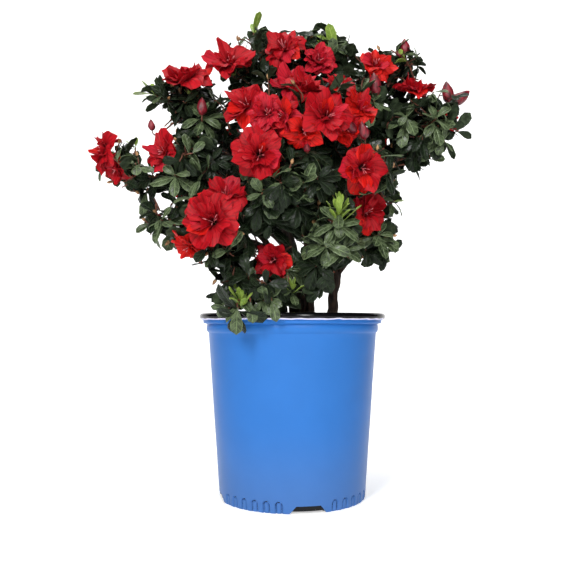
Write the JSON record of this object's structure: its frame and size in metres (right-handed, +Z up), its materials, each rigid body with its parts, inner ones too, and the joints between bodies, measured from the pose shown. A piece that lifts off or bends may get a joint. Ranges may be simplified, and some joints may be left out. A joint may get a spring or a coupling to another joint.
{
  "type": "potted azalea shrub",
  "caption": "Evergreen azalea shrub with double red blooms on a short many-stemmed trunk, standing in a round tapered nursery pot with a rolled rim.",
  "frame": {"origin": "middle of the pot's flat underside, on the surface that it stands on", "axes": "+Z up along the pot's axis, -Y towards the front of the plant, +X to its right"},
  "size_m": [0.4719, 0.354, 0.6185],
  "materials": {
    "pot_wall": "satin blue moulded polypropylene",
    "pot_rim": "black moulded rim and inside of the pot",
    "potting_mix": "damp bark and peat",
    "bark": "rough thin bark",
    "foliage": "semi-matt dark green leaves",
    "petals": "soft red petals"
  },
  "bodies": {
    "root": {"pot": "pot_wall", "potting_mix": "potting_mix", "trunk": "bark", "stem_left": "bark", "stem_front": "bark", "stem_front_right": "bark", "stem_centre": "bark", "stem_back": "bark", "stem_side": "bark", "bough_left_tip": "bark", "bough_left_lower": "bark", "bough_left_front": "bark", "bough_left_mid": "bark", "bough_centre_front": "bark", "bough_low_left": "bark", "bough_centre": "bark", "bough_top_centre": "bark", "bough_top_left": "bark", "bough_back_top": "bark", "bough_heart": "bark", "bough_back_left": "bark", "bough_back_centre": "bark", "bough_left_side": "bark", "bough_left_upper": "bark", "bough_right_mid": "bark", "bough_front_shoot": "bark", "bough_upper_right": "bark", "bough_top_right": "bark", "bough_right_tip": "bark", "bough_back_right": "bark", "bough_right_side": "bark", "bough_right_lower": "bark", "mass_left_tip": "foliage", "mass_left_lower": "foliage", "mass_left_front": "foliage", "mass_left_mid": "foliage", "mass_centre_front": "foliage", "mass_low_left": "foliage", "mass_centre": "foliage", "mass_top_centre": "foliage", "mass_top_left": "foliage", "mass_back_top": "foliage", "mass_heart": "foliage", "mass_back_left": "foliage", "mass_back_centre": "foliage", "mass_left_side": "foliage", "mass_left_upper": "foliage", "mass_right_mid": "foliage", "mass_front_shoot": "foliage", "mass_upper_right": "foliage", "mass_top_right": "foliage", "mass_right_tip": "foliage", "mass_back_right": "foliage", "mass_right_side": "foliage", "mass_right_lower": "foliage"}
  },
  "joints": []
}
